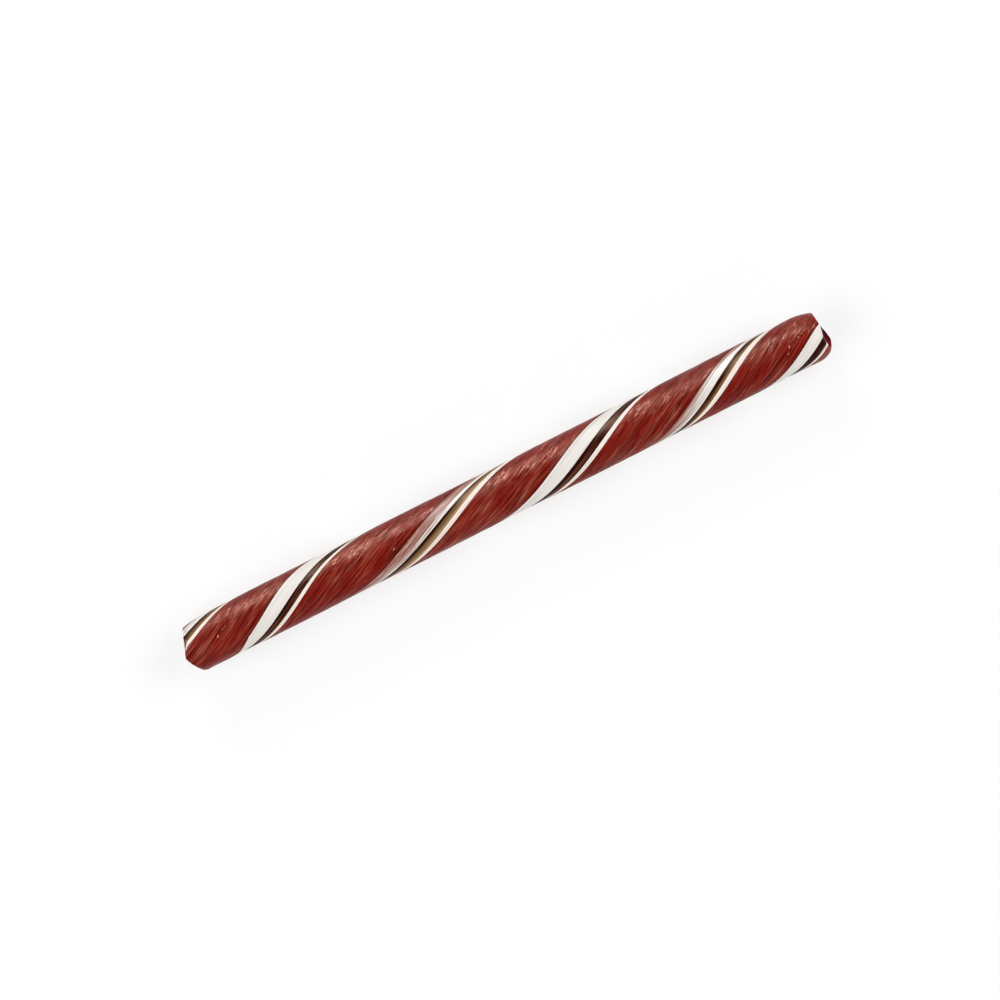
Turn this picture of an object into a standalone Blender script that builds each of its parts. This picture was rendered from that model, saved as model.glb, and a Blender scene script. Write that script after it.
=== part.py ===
"""A pulled hard candy stick, lying on the flat that it cooled on.

One long body of dark red sugar is twisted like rope. Two bands lie sunk in its skin, each
made of three strips side by side: a wide white one, a brown one and a narrow white one. The
bands keep their places in the section while the section turns, so every piece is a section
lofted along the axis and turned by one shared twist.

Units are metres. +X runs along the stick, +Z is up and the table is z = 0. An angle round
the stick starts at the top (+Z) and grows towards +Y.
"""

import math

import bpy
import numpy as np
from mathutils import Matrix

MM = 0.001

# The stick: overall length, radius over the red lobes, and height of its axis above the
# table, which cuts a flat about 2 mm wide along the underside.
LENGTH = 132.0 * MM
LOBE_RADIUS = 4.80 * MM
AXIS_HEIGHT = 4.70 * MM
SHOULDER_DROP = 0.06 * MM

# The twist, left-handed: the section's turn at the left end, and degrees for each millimetre
# at distances from that end, in millimetres.
TWIST_START_DEG = -114.0
TWIST_RATES = (
    (0.0, 5.6),
    (12.0, 7.6),
    (20.0, 7.25),
    (34.0, 5.7),
    (50.0, 5.5),
    (86.0, 6.4),
    (132.0, 8.0),
)
TWIST_SAMPLES = 529

# Each band at distances in millimetres from the left end: its upper edge's angle in the
# section, in degrees, and the widths of its strips in millimetres from that edge round.
STRIPS = ("wide_white", "brown", "narrow_white")
BANDS = {
    "a": {
        "places": (8.5, 12.0, 30.0, 66.0, 94.0, 132.0),
        "upper_edge": (-19.0, -2.6, 1.8, 0.0, 3.0, -1.8),
        "wide_white": (1.5, 2.85, 3.25, 3.05, 3.15, 2.6),
        "brown": (1.7, 1.7, 1.3, 1.85, 1.7, 1.75),
        "narrow_white": (1.05, 1.05, 0.7, 1.05, 0.9, 0.75),
    },
    "b": {
        "places": (0.0, 44.0, 66.0, 102.0, 120.0),
        "upper_edge": (-185.0, -185.0, -185.0, -186.2, -188.6),
        "wide_white": (2.75, 2.5, 2.6, 2.55, 2.0),
        "brown": (1.5, 2.1, 1.1, 1.35, 1.4),
        "narrow_white": (0.82, 0.75, 1.15, 0.85, 1.3),
    },
}

# The strips' seat: depth of each strip's face below the lobes, thickness, and the seam that
# parts each piece from its neighbours.
FACE_DEPTH = {"wide_white": 0.06 * MM, "brown": 0.10 * MM, "narrow_white": 0.08 * MM}
STRIP_THICKNESS = 0.65 * MM
SEAM = 0.30 * MM
CHANNEL_DEPTH = max(FACE_DEPTH.values()) + STRIP_THICKNESS + SEAM
WALL_DRAFT_DEG = 2.0

# The left end is pinched off: a ridge across it, sloping back straight on one side and
# rounding off on the other, with a chip out of its upper rim.
LEFT_RIDGE_Y = -1.1 * MM
LEFT_SLOPE = 0.35
LEFT_ROUND = 0.29
CHIP_Y, CHIP_Z = 1.4 * MM, 4.6 * MM
CHIP_RADIUS = 1.25 * MM
CHIP_DEPTH = 0.7 * MM

# The right end is snapped off: its face swells to a dome inside the rim, with one small nub,
# falls back past a fold, and leans back over the dome towards the upper rim.
RIGHT_SETBACK = 0.95 * MM
DOME_Y, DOME_Z = -1.3 * MM, -1.5 * MM
DOME_RADIUS = 2.4 * MM
DOME_HEIGHT = 0.74 * MM
NUB_Y, NUB_Z = -2.1 * MM, -0.6 * MM
NUB_RADIUS = 0.9 * MM
NUB_HEIGHT = 0.24 * MM
FOLD_Y = 1.5 * MM
FOLD_SLOPE = 0.1
LEAN_Z = 1.5 * MM
LEAN_SLOPE = 0.17
LEAN_BLEND = 0.8 * MM

# Both ends neck down gently on their +Y side. Their rim is rounded off, sharply on the +Y
# side and by a blunt edge on the -Y side. Each rim is given as the neck's depth and length,
# then the blunt edge's depth and length.
SHARP_EDGE = 0.10 * MM
LEFT_RIM = (0.65 * MM, 6.5 * MM, 0.35 * MM, 1.1 * MM)
RIGHT_RIM = (0.75 * MM, 4.6 * MM, 1.60 * MM, 3.0 * MM)
END_REACH = 12.0 * MM
TURN_PASSES = 4

# The mesh: extra stations behind each end, steps between them, points on each part of a
# section, and the rings of the body's end faces.
END_STATIONS = (0.0, 0.2 * MM, 0.6 * MM, 1.2 * MM)
STATION_STEPS = 78
LOBE_POINTS = 11
FLOOR_POINTS = 7
FACE_POINTS = {"wide_white": 5, "brown": 3, "narrow_white": 3}
BACK_POINTS = {"wide_white": 3, "brown": 2, "narrow_white": 2}
BODY_FACE_RINGS = (0.22, 0.44, 0.64, 0.82)

COLOURS = {
    "body": "6F1712",
    "wide_white_a": "E2E0DC",
    "wide_white_b": "DCD0CC",
    "brown_a": "2B1512",
    "brown_b": "5E4C30",
    "narrow_white": "EFE9E0",
}


def twist(x):
    """Turn of the section, in radians, at a distance from the left end."""
    place = np.linspace(-END_REACH, LENGTH + END_REACH, TWIST_SAMPLES)
    knots, rates = np.transpose(TWIST_RATES)
    rate = np.radians(np.interp(place, knots * MM, rates)) / MM
    steps = 0.5 * (rate[1:] + rate[:-1]) * np.diff(place)
    turn = np.concatenate(([0.0], np.cumsum(steps)))
    turn += math.radians(TWIST_START_DEG) - np.interp(0.0, place, turn)
    return np.interp(x, place, turn)


def stations():
    """Distances from the left end at which the pieces have a ring of points."""
    ends = np.array(END_STATIONS)
    middle = np.linspace(ends[-1], LENGTH - ends[-1], STATION_STEPS + 1)
    return np.concatenate((ends[:-1], middle, LENGTH - ends[-2::-1]))


def strip_edges(band, station):
    """Angles of a band's four seams at each station, from its upper edge down."""
    shape = BANDS[band]
    places = np.array(shape["places"]) * MM
    edges = [np.radians(np.interp(station, places, shape["upper_edge"]))]
    for strip in STRIPS:
        width = MM * np.interp(station, places, shape[strip])
        edges.append(edges[-1] - width / LOBE_RADIUS)
    return edges


def left_face(y, z):
    """How far the left end's face lies behind the stick's tip."""
    side = y - LEFT_RIDGE_Y
    straight = LEFT_SLOPE * np.maximum(side, 0.0)
    rounded = LEFT_ROUND * MM * (np.maximum(-side, 0.0) / MM) ** 1.5
    from_chip = np.hypot(y - CHIP_Y, z - CHIP_Z) / CHIP_RADIUS
    return straight + rounded + CHIP_DEPTH * np.exp(-(from_chip**4))


def right_face(y, z):
    """How far the right end's face lies behind the stick's tip."""
    from_dome = np.hypot(y - DOME_Y, z - DOME_Z) / DOME_RADIUS
    from_nub = np.hypot(y - NUB_Y, z - NUB_Z) / NUB_RADIUS
    dome = DOME_HEIGHT * np.exp(-(from_dome**2)) + NUB_HEIGHT * np.exp(-(from_nub**2))
    fold = FOLD_SLOPE * np.maximum(y - FOLD_Y, 0.0)
    lean = LEAN_SLOPE * np.maximum(z - LEAN_Z, 0.0) * (0.5 - 0.5 * np.tanh(y / LEAN_BLEND))
    return RIGHT_SETBACK - dome + fold + lean


def end_drop(distance, phi, rim):
    """How much an end is drawn in at a distance behind it: the neck and the rounded rim."""
    upper_side = 0.5 + 0.5 * np.sin(phi)
    neck_depth, neck_length, depth, length = rim
    neck = neck_depth * upper_side**2 * np.maximum(1.0 - distance / neck_length, 0.0) ** 2
    edge = SHARP_EDGE + (depth - SHARP_EDGE) * (1.0 - upper_side) ** 5
    curve = np.clip(1.0 - distance / length, 0.0, 1.0)
    return neck + edge * (1.0 - np.sqrt(1.0 - curve**2))


def place(station, theta, depth):
    """Points of a section's rings: angles in the section and depths below the lobes.

    A ring lies at its station in the middle of the stick and follows the end's face near an
    end. The turn depends on where a point ends up, so both are found together.
    """
    start = station[:, None]
    left_share = np.maximum(1.0 - start / END_REACH, 0.0)
    right_share = np.maximum(1.0 - (LENGTH - start) / END_REACH, 0.0)
    x = np.broadcast_to(start, theta.shape)
    for _ in range(TURN_PASSES):
        phi = twist(x) + theta
        drop = end_drop(start, phi, LEFT_RIM) + end_drop(LENGTH - start, phi, RIGHT_RIM)
        radius = LOBE_RADIUS - depth - drop
        y = radius * np.sin(phi)
        z = radius * np.cos(phi)
        x = start + left_share * left_face(y, z) - right_share * right_face(y, z)
    return np.stack((x, y, z), axis=-1)


def end_rings(rim, face, tip, shares):
    """Rings inside a rim, from the middle of an end's face out."""
    centre = rim.mean(axis=0)
    rings = []
    for share in (0.0, *shares):
        ring = centre + share * (rim - centre)
        ring[:, 0] = tip + face(ring[:, 1], ring[:, 2])
        rings.append(ring)
    return rings


def loft(name, theta, depth, colour, face_rings=()):
    """One closed piece: a section's rings along the stick, with both end faces.

    Faces are split along the strands' own direction, so that they keep to the round.
    """
    rings = place(stations(), theta, depth)
    left = end_rings(rings[0], left_face, 0.0, face_rings)
    right = end_rings(rings[-1], lambda y, z: -right_face(y, z), LENGTH, face_rings)
    rings = np.array([*left, *rings, *right[::-1]])
    count = rings.shape[1]
    points = [tuple(rings[0][0])]
    points += [tuple(point) for ring in rings[1:-1] for point in ring]
    points.append(tuple(rings[-1][0]))
    last = len(points) - 1
    faces = []
    for j in range(count):
        after = (j + 1) % count
        faces.append((0, 1 + j, 1 + after))
        for i in range(len(rings) - 3):
            here, ahead = 1 + i * count, 1 + (i + 1) * count
            faces.append((here + j, ahead + j, here + after))
            faces.append((ahead + j, ahead + after, here + after))
        faces.append((last, last - count + after, last - count + j))
    mesh = bpy.data.meshes.new(name)
    mesh.from_pydata(points, [], faces)
    mesh.shade_smooth()
    mesh.set_sharp_from_angle(angle=math.radians(35.0))
    mesh.materials.append(sugar(name, colour))
    piece = bpy.data.objects.new(name, mesh)
    bpy.context.collection.objects.link(piece)
    return piece


def linear(channel):
    """One sRGB channel, 0 to 255, as a linear value."""
    value = channel / 255.0
    return value / 12.92 if value <= 0.04045 else ((value + 0.055) / 1.055) ** 2.4


def sugar(name, colour):
    """Boiled sugar of one colour, glossy where it was pulled."""
    material = bpy.data.materials.new(name)
    material.use_nodes = True
    shader = material.node_tree.nodes["Principled BSDF"]
    rgb = [linear(int(colour[k : k + 2], 16)) for k in (0, 2, 4)]
    shader.inputs["Base Color"].default_value = (*rgb, 1.0)
    shader.inputs["Roughness"].default_value = 0.3
    shader.inputs["Metallic"].default_value = 0.0
    return material


def spread(start, stop, count):
    """Angles evenly from one seam to another, at each station."""
    share = np.linspace(0.0, 1.0, count)
    return start[:, None] + (stop - start)[:, None] * share


def build_body():
    """The red body: two lobes with a channel for a band between them on each side."""
    station = stations()
    half_seam = 0.5 * SEAM / LOBE_RADIUS
    draft = math.radians(WALL_DRAFT_DEG)
    turn = 2.0 * math.pi
    upper_a, *_, lower_a = strip_edges("a", station)
    upper_b, *_, lower_b = strip_edges("b", station)
    across = np.linspace(0.0, 1.0, LOBE_POINTS)
    lobe_depth = SHOULDER_DROP * (1.0 - np.sin(math.pi * across)) ** 2
    floor_depth = np.full(FLOOR_POINTS, CHANNEL_DEPTH)
    seams = (
        (upper_a, lower_b + turn, upper_b + turn),
        (upper_b + turn, lower_a + turn, upper_a + turn),
    )
    angles, depths = [], []
    for lobe_start, lobe_stop, floor_stop in seams:
        lobe = spread(lobe_start + half_seam, lobe_stop - half_seam, LOBE_POINTS)
        floor = spread(
            lobe_stop - half_seam + draft, floor_stop + half_seam - draft, FLOOR_POINTS
        )
        angles += [lobe, floor]
        depths += [lobe_depth, floor_depth]
    theta = np.concatenate(angles, axis=1)
    depth = np.concatenate(depths)
    return loft("candy_body", theta, depth, COLOURS["body"], BODY_FACE_RINGS)


def build_strip(band, strip):
    """One strip of sugar, lying in its band's channel between its two seams."""
    station = stations()
    edges = strip_edges(band, station)
    order = STRIPS.index(strip)
    half_seam = 0.5 * SEAM / LOBE_RADIUS
    upper, lower = edges[order] - half_seam, edges[order + 1] + half_seam
    face = spread(lower, upper, FACE_POINTS[strip])
    back = spread(upper, lower, BACK_POINTS[strip])
    theta = np.concatenate((face, back), axis=1)
    face_depth = np.full(FACE_POINTS[strip], FACE_DEPTH[strip])
    back_depth = np.full(BACK_POINTS[strip], CHANNEL_DEPTH - SEAM)
    depth = np.concatenate((face_depth, back_depth))
    name = f"{strip}_{band}"
    return loft(name, theta, depth, COLOURS.get(name) or COLOURS[strip])


def build_table_cutter():
    """A hidden block whose top is the table: it takes the flat off the underside."""
    size = (LENGTH + 4.0 * END_REACH, 8.0 * LOBE_RADIUS, 2.0 * LOBE_RADIUS)
    bpy.ops.mesh.primitive_cube_add(size=1.0, location=(0.0, 0.0, -0.5 * size[2]))
    cutter = bpy.context.object
    cutter.name = "table_cutter"
    cutter.data.transform(Matrix.Diagonal((*size, 1.0)))
    cutter.hide_render = True
    cutter.display_type = "WIRE"
    return cutter


def main():
    for item in list(bpy.data.objects):
        bpy.data.objects.remove(item, do_unlink=True)
    axis = bpy.data.objects.new("stick_axis", None)
    axis.location = (-0.5 * LENGTH, 0.0, AXIS_HEIGHT)
    bpy.context.collection.objects.link(axis)
    body = build_body()
    body.parent = axis
    for band in BANDS:
        for strip in STRIPS:
            build_strip(band, strip).parent = axis
    flat = body.modifiers.new("resting_flat", "BOOLEAN")
    flat.operation = "DIFFERENCE"
    flat.solver = "EXACT"
    flat.object = build_table_cutter()


if __name__ == "__main__":
    main()
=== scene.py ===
"""Looks of a twisted hard candy stick, built round its solid frame.

Dark red boiled sugar, pulled until it is full of fine strands, makes the body. Two bands of
white and brown strips lie in its skin and wind round it. Every surface is a section carried
along the axis: a point has a place along the stick, a strand angle in the section and a
depth below the skin, and the twist turns it to where it lies.
"""

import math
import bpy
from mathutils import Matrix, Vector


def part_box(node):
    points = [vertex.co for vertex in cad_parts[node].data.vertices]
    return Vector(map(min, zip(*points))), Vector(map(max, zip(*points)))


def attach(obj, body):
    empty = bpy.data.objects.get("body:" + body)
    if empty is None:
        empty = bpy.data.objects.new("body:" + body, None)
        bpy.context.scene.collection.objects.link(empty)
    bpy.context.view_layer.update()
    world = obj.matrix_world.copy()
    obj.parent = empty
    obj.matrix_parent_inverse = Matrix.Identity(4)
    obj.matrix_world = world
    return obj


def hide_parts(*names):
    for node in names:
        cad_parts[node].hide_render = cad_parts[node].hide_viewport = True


bl_info = {
    "name": "Twisted Candy Stick",
    "version": (1, 0, 0),
    "blender": (4, 5, 0),
    "location": "View3D > Sidebar > Candy",
    "description": "Builds a pulled and striped hard candy stick and a plain stage for it",
    "category": "Object",
}

import bpy
import numpy as np
from mathutils import Matrix, Vector

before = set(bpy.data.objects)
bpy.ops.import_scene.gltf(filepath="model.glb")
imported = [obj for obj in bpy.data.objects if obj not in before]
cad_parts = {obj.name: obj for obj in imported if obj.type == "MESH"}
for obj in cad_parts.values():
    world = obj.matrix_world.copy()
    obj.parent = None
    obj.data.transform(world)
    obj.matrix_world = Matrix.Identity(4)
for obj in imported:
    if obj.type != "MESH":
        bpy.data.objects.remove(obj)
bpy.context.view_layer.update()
BODY_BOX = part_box("candy_body")

MM = 0.001
TURN = 2.0 * math.pi

# Where the stick lies: its left tip, its length, its radius over the red lobes, and the
# height of its axis over the table, all from the frame.
LEFT_TIP = BODY_BOX[0][0]
LENGTH = BODY_BOX[1][0] - BODY_BOX[0][0]
LOBE_RADIUS = 0.5 * (BODY_BOX[1][1] - BODY_BOX[0][1])
AXIS_HEIGHT = BODY_BOX[1][2] - LOBE_RADIUS

# The twist, left-handed: the section's turn at the left end, and degrees for each millimetre
# at distances from that end, in millimetres.
TWIST_START_DEG = -114.0
TWIST_RATES = (
    (0.0, 5.6),
    (12.0, 7.6),
    (20.0, 7.25),
    (34.0, 5.7),
    (50.0, 5.5),
    (86.0, 6.4),
    (132.0, 8.0),
)
TWIST_SAMPLES = 1057

# Each band's strips at distances in millimetres from the left end: its upper edge's angle in
# the section in degrees, and the widths of its strips in millimetres from that edge round.
STRIPS = ("wide_white", "brown", "narrow_white")
BANDS = {
    "a": {
        "places": (8.5, 12.0, 30.0, 66.0, 94.0, 132.0),
        "upper_edge": (-19.0, -2.6, 1.8, 0.0, 3.0, -1.8),
        "wide_white": (1.5, 2.85, 3.25, 3.05, 3.15, 2.6),
        "brown": (1.7, 1.7, 1.3, 1.85, 1.7, 1.75),
        "narrow_white": (1.05, 1.05, 0.7, 1.05, 0.9, 0.75),
    },
    "b": {
        "places": (0.0, 44.0, 66.0, 102.0, 120.0),
        "upper_edge": (-185.0, -185.0, -185.0, -186.2, -188.6),
        "wide_white": (2.75, 2.5, 2.6, 2.55, 2.0),
        "brown": (1.5, 2.1, 1.1, 1.35, 1.4),
        "narrow_white": (0.82, 0.75, 1.15, 0.85, 1.3),
    },
}

# White sugar glares past its borders. To look as wide as it does in the photograph, its
# borders are drawn in by this much: each edge of a band, from the upper one down.
GLARE_TRIM = (0.0, 0.10 * MM, 0.02 * MM, 0.07 * MM)

# How the strips are seated: the depth of each one's face below the lobes, and of the lip
# that it rounds off by at its edges, how far it runs on under its neighbours, as (upper side,
# lower side), the depth of its back, which is sunk in the channel's floor so that no gap
# shows, and how far its ends stand out of the end faces. Its ridges are lower than the red's.
FACE_DEPTH = {"wide_white": 0.03 * MM, "brown": 0.06 * MM, "narrow_white": 0.035 * MM}
LIP_DEPTH = 0.03 * MM
TUCK = {
    "wide_white": (0.20 * MM, 0.0),
    "brown": (0.12 * MM, 0.12 * MM),
    "narrow_white": (0.0, 0.20 * MM),
}
BACK_DEPTH = 0.76 * MM
BACK_POINTS = 4
CHANNEL_DEPTH = 0.72 * MM
STRIP_PROUD = 0.012 * MM
STRIP_RELIEF_SHARE = 0.3

# The skin: how far the lobes fall off towards the strips, and the crease along each seam.
SHOULDER_DROP = 0.02 * MM
SHOULDER_WIDTH = 0.5 * MM
CREASE_DEPTH = 0.03 * MM
CREASE_WIDTH = 0.08 * MM

# The wandering lines: seed, shortest and longest wave, and number of waves. One thins the
# whole stick, and one for each edge of a strip, with its own seed, moves that edge.
SWELL_WAVES = (3, (17.0 * MM, 43.0 * MM), 5)
EDGE_WAVES = ((9.0 * MM, 31.0 * MM), 4)

# The ridges that pulling leaves: their pattern is a ring of this many heights for each
# length of stick, with fine ridges lower than coarse ones, given as ridges in one round.
RIDGE_SPAN = 9.0 * MM
RIDGE_SAMPLES = 512
RIDGE_FINEST = 90.0
RIDGE_COARSEST = 9.0
RIDGE_SEED = 7

# The left end is pinched off: a ridge across it, sloping back straight on one side and
# rounding off on the other, with a chip out of its upper rim.
LEFT_RIDGE_Y = -1.1 * MM
LEFT_SLOPE = 0.35
LEFT_ROUND = 0.29
CHIP_Y, CHIP_Z = 1.4 * MM, 4.6 * MM
CHIP_RADIUS = 1.25 * MM
CHIP_DEPTH = 0.7 * MM

# The right end is snapped off: its face swells to a dome inside the rim, with one small nub,
# falls back past a fold, and leans back over the dome towards the upper rim.
RIGHT_SETBACK = 0.86 * MM
DOME_Y, DOME_Z = -1.3 * MM, -1.5 * MM
DOME_RADIUS = 2.4 * MM
DOME_HEIGHT = 0.74 * MM
NUB_Y, NUB_Z = -2.1 * MM, -0.6 * MM
NUB_RADIUS = 0.9 * MM
NUB_HEIGHT = 0.24 * MM
FOLD_Y = 1.5 * MM
FOLD_SLOPE = 0.1
LEAN_Z = 1.5 * MM
LEAN_SLOPE = 0.17
LEAN_BLEND = 0.8 * MM

# The ripples of the snap: where on the rim they start, their spacing and reach, the grain
# that crosses them, its share of their height, and the share that the left end has.
SNAP_Y, SNAP_Z = -3.4 * MM, 3.2 * MM
RIPPLE_SPACING = 1.15 * MM
RIPPLE_REACH = 6.0 * MM
GRAIN_SPACING = (0.62 * MM, 0.83 * MM)
GRAIN_SHARE = 0.3
LEFT_RIPPLE_SHARE = 0.4

# Both ends neck down gently on their +Y side. Their rim is rounded off, sharply on the +Y
# side and by a blunt edge on the -Y side. Each rim is given as the neck's depth and length,
# then the blunt edge's depth and length. The rings of points lean over to an end's face
# within the reach, and their turn and place are found together in this many passes.
SHARP_EDGE = 0.10 * MM
LEFT_RIM = (0.65 * MM, 6.5 * MM, 0.35 * MM, 1.1 * MM)
RIGHT_RIM = (0.75 * MM, 4.6 * MM, 1.60 * MM, 3.0 * MM)
END_REACH = 12.0 * MM
TURN_PASSES = 4

# Air bubbles that stand in the skin: distance from the left end in millimetres, degrees from
# the top towards +Y, radius as a share of the largest, length over width, and paleness, the
# share of the painted highlight on it. The small stray ones lie in the lobes, at angles in the
# section, away from the ends and from the flat, where the cosine of the angle from the top is
# least. A bubble's height and its rings, from its top round to its underside, are shares of
# its radius.
BUBBLES = (
    (7.1, -2.5, 0.8, 1.5, 0.8),
    (8.5, 8.0, 0.5, 1.6, 0.35),
    (9.1, 11.5, 0.45, 1.4, 0.35),
    (14.2, 38.0, 0.5, 2.0, 0.7),
    (43.0, -5.0, 0.5, 2.2, 0.7),
    (46.0, -3.0, 0.45, 1.8, 0.8),
    (71.0, 30.0, 0.7, 1.6, 0.8),
    (75.5, 52.0, 0.45, 1.3, 0.7),
    (123.5, -11.0, 0.45, 1.5, 0.7),
    (124.2, 1.7, 0.8, 1.0, 1.0),
    (125.0, 0.5, 0.4, 1.3, 0.5),
    (126.5, 12.0, 0.55, 1.4, 0.8),
    (127.3, 17.0, 0.4, 1.3, 0.8),
    (127.7, 18.6, 0.38, 1.3, 0.8),
    (128.1, 20.5, 0.42, 1.3, 0.8),
    (128.6, 22.7, 0.38, 1.3, 0.8),
    (127.0, 47.8, 0.55, 3.4, 1.0),
)
STRAY_BUBBLES = 46
STRAY_SEED = 21
STRAY_RADII = (0.22, 0.42)
STRAY_STRETCH = (1.2, 2.4)
STRAY_PALENESS = (0.1, 0.6)
STRAY_LOBES_DEG = ((12.0, 100.0), (188.0, 284.0))
STRAY_END_GAP = 3.0
ON_TABLE = -0.93
BUBBLE_HEIGHT = 0.42
BUBBLE_RINGS = (0.0, 0.3, 0.55, 0.78, 0.93, 1.08, 0.0)
BUBBLE_SPOKES = 14
BUBBLE_SINK = 0.01 * MM

# The grids: rings of points along the stick, closer together at its ends, and points across
# each part of a section, closer together at a lobe's edges. A channel's floor stops short of
# its walls. On the body, the cut faces are marked by a value that is 0 on the skin.
RINGS = 420
END_RINGS = 10
END_SPAN = 1.2 * MM
END_CROWDING = 1.6
LOBE_POINTS = 94
LOBE_CROWDING = 0.25
FLOOR_POINTS = 5
FLOOR_SHARES = (0.04, 0.96)
STRIP_POINTS = {"wide_white": 30, "brown": 18, "narrow_white": 14}
BODY_FACE_RINGS = 20
STRIP_FACE_RINGS = 3
SHARP_ANGLE_DEG = 50.0
PINCHED_MARK, SNAPPED_MARK = 0.5, 1.0

# The photograph's view: straight down, with the stick rising to the right.
FIELD = 183.4 * MM
CAMERA_HEIGHT = 1.5
SENSOR = 36.0
STICK_RISE_DEG = 26.7
STICK_CENTRE_PX = (505.0, 490.9)
FRAME_PX = 1000.0

# The light table, and the softboxes: each one's name, place, width and height in metres,
# radiance, and whether it lights the stick as well as being mirrored in it. Those past the
# ends give most of the light and are mirrored nowhere along the side. The one on the +Y side
# is mirrored there, and a small bright one in front of it, which is there for its mirror
# image alone, draws the streak along the lobes.
FLOOR_REACH = 3.0
FLOOR_GAP = 0.02 * MM
TABLE_GLOW = 0.70
LIGHTS = (
    ("streak_light", (0.0, 0.64, 0.31), 0.16, 0.28, 135.0, False),
    ("front_light", (0.0, 0.70, 0.31), 0.40, 0.22, 5.8, True),
    ("left_light", (-0.60, 0.0, 0.52), 0.80, 0.56, 3.35, True),
    ("right_light", (0.60, 0.0, 0.52), 0.80, 0.56, 3.35, True),
    ("back_light", (0.0, -0.75, 0.30), 0.90, 0.25, 1.5, True),
)

ATTRIBUTE = "ShaderNodeAttribute"
BUMP = "ShaderNodeBump"
MATH = "ShaderNodeMath"
MIX = "ShaderNodeMix"
NOISE = "ShaderNodeTexNoise"
OUTPUT = "ShaderNodeOutputMaterial"
PRINCIPLED = "ShaderNodeBsdfPrincipled"
RANGE = "ShaderNodeMapRange"
SPLIT = "ShaderNodeSeparateXYZ"

# What all boiled sugar has in common: it is no metal, and bends light about as glass does.
SUGAR = {"Metallic": 0.0, "IOR": 1.5}


def linear(code):
    """An sRGB hex colour as linear red, green, blue and alpha."""
    values = [int(code[k : k + 2], 16) / 255.0 for k in (0, 2, 4)]
    return [v / 12.92 if v <= 0.04045 else ((v + 0.055) / 1.055) ** 2.4 for v in values] + [1.0]


def colour_property(name, description, code):
    """A colour that a user can change, with its default given as sRGB hex."""
    return bpy.props.FloatVectorProperty(
        name=name,
        description=description,
        subtype="COLOR",
        size=4,
        min=0.0,
        max=1.0,
        default=linear(code),
    )


def length_property(name, description, value):
    """A small length that a user can change."""
    return bpy.props.FloatProperty(
        name=name,
        description=description,
        default=value,
        min=0.0,
        unit="LENGTH",
        precision=6,
    )


class CandySizes(bpy.types.PropertyGroup):
    """Sizes that a maker of such sticks would change."""

    strand_relief: length_property(
        "Strand relief", "Height of the ridges that pulling leaves along the strands", 0.016 * MM
    )
    lump_relief: length_property(
        "Lump relief", "How far the stick swells and thins by hand rolling", 0.05 * MM
    )
    edge_wobble: length_property(
        "Edge wobble", "How far the stripes' edges wander from their line", 0.012 * MM
    )
    fracture_relief: length_property(
        "Fracture relief", "Height of the shell-like ripples on the snapped end", 0.05 * MM
    )
    bubble_radius: length_property(
        "Bubble radius", "Radius of the largest air bubble that stands in the skin", 0.30 * MM
    )


class CandyColours(bpy.types.PropertyGroup):
    """Colours of the boiled sugar, and of the light and shade painted on it."""

    deep_red: colour_property("Deep red", "Clear red sugar between the strands", "7A120C")
    brown_red: colour_property("Brown red", "Red sugar where more air is pulled in", "801F15")
    # Maroon colours the dark strands, and is also painted shade: the red darkens to it along the
    # seams and round each bubble's foot.
    maroon_and_shade: colour_property("Maroon", "Red sugar in the grooves and along the seams", "4A0605")
    strand_rose: colour_property("Strand rose", "Strands with some air in them", "8F3627")
    strand_tan: colour_property("Strand tan", "Single threads of air", "BE7C64")
    # Painted light on the red near the right end.
    end_glow_red: colour_property("Amber red", "Red sugar where light comes through an end", "9A3A1E")
    # Dark red of the snapped face, partly painted shade.
    core_red_and_shade: colour_property("Core red", "Clear sugar on the snapped face", "380818")
    # Painted light towards the nub.
    nub_glow_red: colour_property("Nub red", "Clear sugar that light comes through there", "62101A")
    pinched_red: colour_property("Pinched red", "Cloudy sugar on the pinched face", "8A5247")
    white: colour_property("White", "Opaque white sugar", "E8E3DC")
    white_line: colour_property("White line", "Thin grey lines in the white", "A9A29C")
    # Pearl and pearl edge are painted shade and reflection on the wide white strip, pinkish grey
    # towards its upper edge.
    pearl: colour_property("Pearl", "White sugar drawn so thin that the red shows", "A37F73")
    pearl_edge: colour_property("Pearl edge", "The thinnest of it, by the red", "9C6658")
    pearl_line: colour_property("Pearl line", "Red strands seen through it", "7E3B2E")
    cream: colour_property("Cream", "Narrow white strips", "F2E3D9")
    dark_brown: colour_property("Dark brown", "Near-black brown strip", "280A07")
    # Bronze strands, also standing in for the brown's painted sheen.
    bronze_and_sheen: colour_property("Bronze", "Paler strands in the dark brown", "75472F")
    # Painted reflection on the lower part of the brown strips.
    gold_reflection: colour_property("Gold brown", "Brown strip where it is drawn thin", "7A5A38")
    # Paler painted reflection towards their lower edge.
    pale_gold_reflection: colour_property("Pale gold", "The thinnest of it, over the cream", "A88C62")
    # Painted highlight on the air bubbles, as strong as each one's paleness.
    blister_highlight: colour_property("Blister", "Thin sugar skin over an air bubble", "E0907C")


def twist(x):
    """Turn of the section, in radians, at a distance from the left end.

    The rate runs straight between its knots, and the turn is the rate summed along the stick.
    """
    place = np.linspace(-END_REACH, LENGTH + END_REACH, TWIST_SAMPLES)
    knots, rates = np.transpose(TWIST_RATES)
    rate = np.radians(np.interp(place, knots * MM, rates)) / MM
    steps = 0.5 * (rate[1:] + rate[:-1]) * np.diff(place)
    turn = np.concatenate(([0.0], np.cumsum(steps)))
    turn += math.radians(TWIST_START_DEG) - np.interp(0.0, place, turn)
    return np.interp(x, place, turn)


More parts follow.
